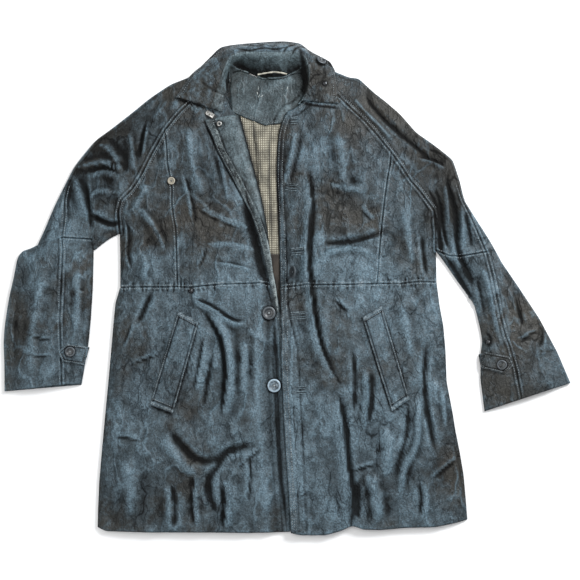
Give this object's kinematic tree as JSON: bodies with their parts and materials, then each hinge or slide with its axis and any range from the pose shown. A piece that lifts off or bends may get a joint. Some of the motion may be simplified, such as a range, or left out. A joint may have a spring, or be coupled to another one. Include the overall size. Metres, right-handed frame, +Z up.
{
  "type": "worn leather coat",
  "caption": "Worn leather car coat with raglan sleeves, laid flat on its back with the collar and one lapel turned open.",
  "frame": {"origin": "middle of the coat's outline on the surface that it lies on", "axes": "+X to the wearer's left, +Y towards the collar, +Z up from the surface, out of the front"},
  "size_m": [1.0316, 0.9178, 0.036],
  "materials": {
    "leather": "worn charcoal leather with slate highlights",
    "lapel_leather": "smoother charcoal facing leather",
    "check_lining": "tan waffle check lining",
    "brown_lining": "dark brown lining",
    "loop_tape": "cream cord",
    "button": "dark horn-like buttons",
    "metal": "worn nickel trim"
  },
  "bodies": {
    "root": {"back_bodice": "leather", "back_skirt": "leather", "back_neck_facing": "lapel_leather", "back_lining": "check_lining", "back_lining_lower": "brown_lining", "hanger_loop": "loop_tape", "right_front_chest": "leather", "right_front_side": "leather", "right_front_skirt": "leather", "left_front_chest": "leather", "left_front_side": "leather", "left_front_skirt": "leather", "right_lapel_facing": "lapel_leather", "right_pocket_welt": "leather", "left_pocket_welt": "leather", "right_sleeve_front_upper": "leather", "right_sleeve_back_upper": "leather", "right_sleeve_front_lower": "leather", "right_sleeve_back_lower": "leather", "left_sleeve_front_upper": "leather", "left_sleeve_back_upper": "leather", "left_sleeve_front_lower": "leather", "left_sleeve_back_lower": "leather", "right_cuff_tab": "leather", "left_cuff_tab": "leather", "collar_stand": "lapel_leather", "collar_fall": "leather", "front_button_1": "button", "front_button_2": "button", "placket_button": "button", "chest_button": "button", "collar_button": "button", "right_cuff_button": "button", "left_cuff_button": "button", "waist_snap": "metal", "collar_snap": "metal", "cuff_snap": "metal", "lapel_ring": "metal", "neck_hook": "metal"}
  },
  "joints": []
}
